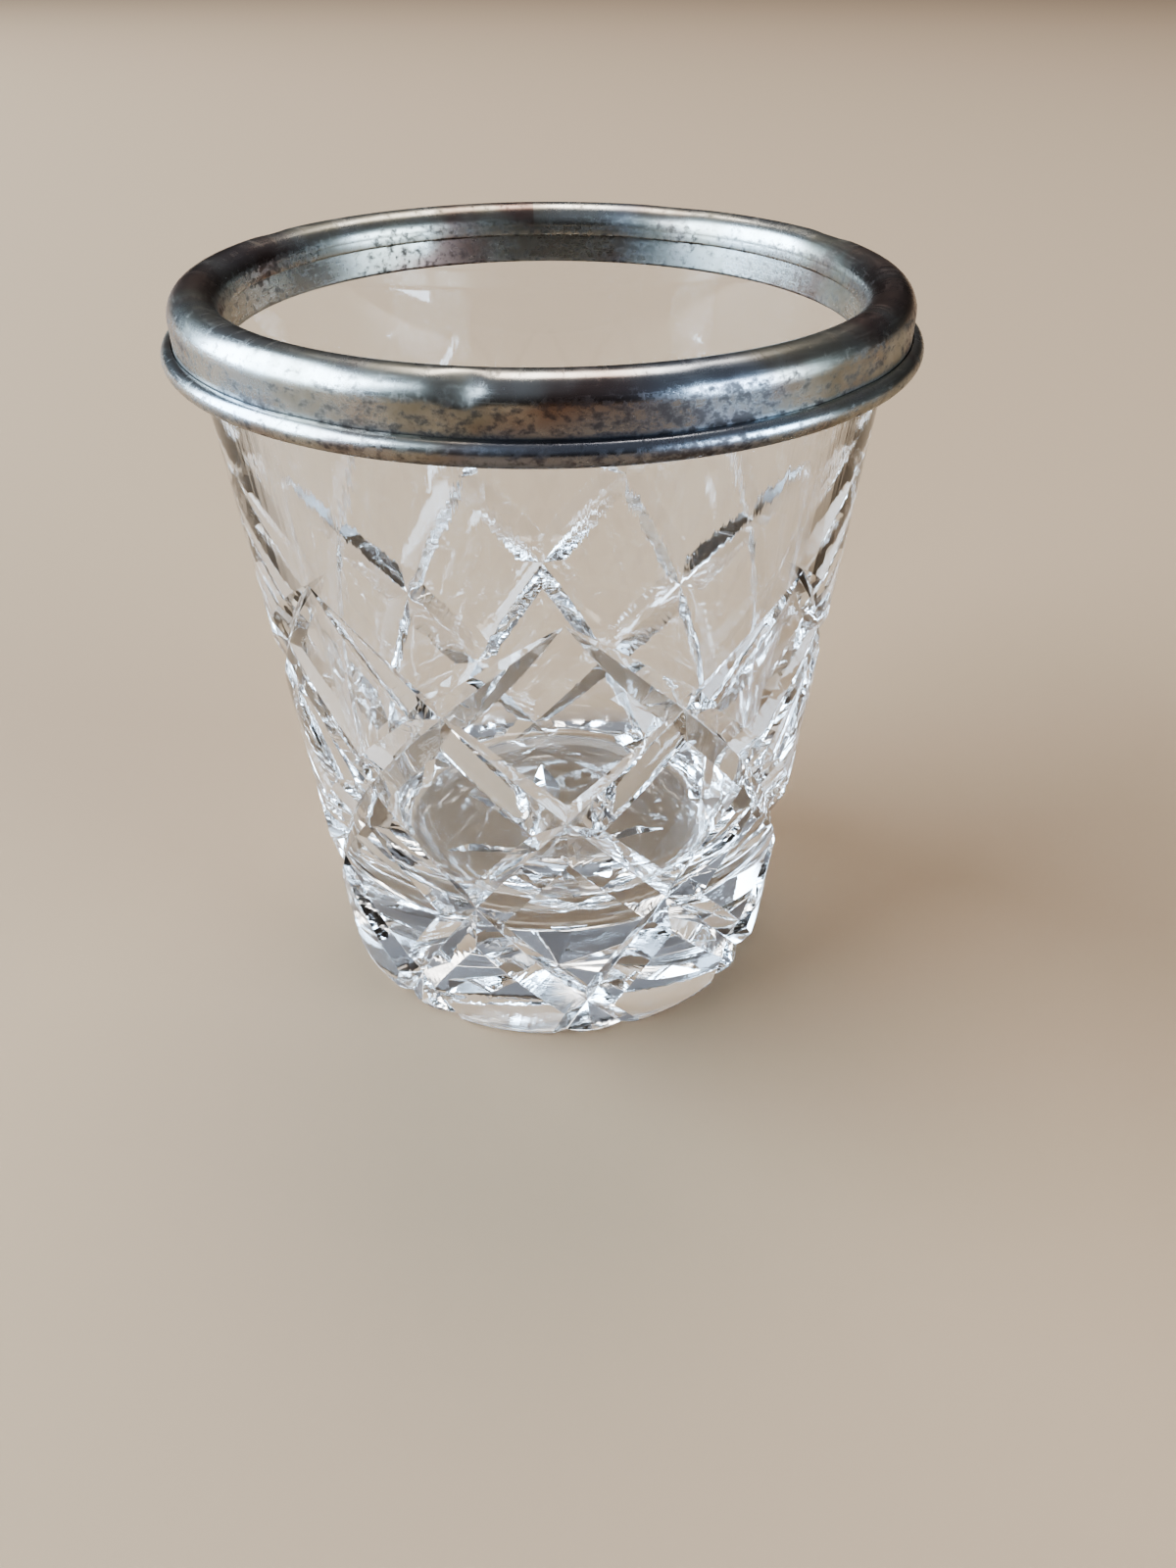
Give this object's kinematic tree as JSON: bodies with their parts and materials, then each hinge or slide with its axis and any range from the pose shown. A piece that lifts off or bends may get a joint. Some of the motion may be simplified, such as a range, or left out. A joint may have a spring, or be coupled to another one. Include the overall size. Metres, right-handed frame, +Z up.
{
  "type": "cut crystal tumbler with silver collar",
  "caption": "Small tapered cut-glass tumbler with crossed diagonal mitre cuts, a heavy base and a rolled silver collar.",
  "frame": {"origin": "centre of the foot, on the surface that the glass stands on", "axes": "+Z up along the axis of the glass, -Y towards the front"},
  "size_m": [0.062, 0.062, 0.0665],
  "materials": {
    "crystal": "polished",
    "collar_silver": "satin",
    "bezel_silver": "satin",
    "bead_silver": "satin",
    "cement": "matte"
  },
  "bodies": {
    "root": {"crystal_body": "crystal", "collar_band": "collar_silver", "collar_bezel": "bezel_silver", "bead_wire": "bead_silver", "cement_bed": "cement"}
  },
  "joints": []
}
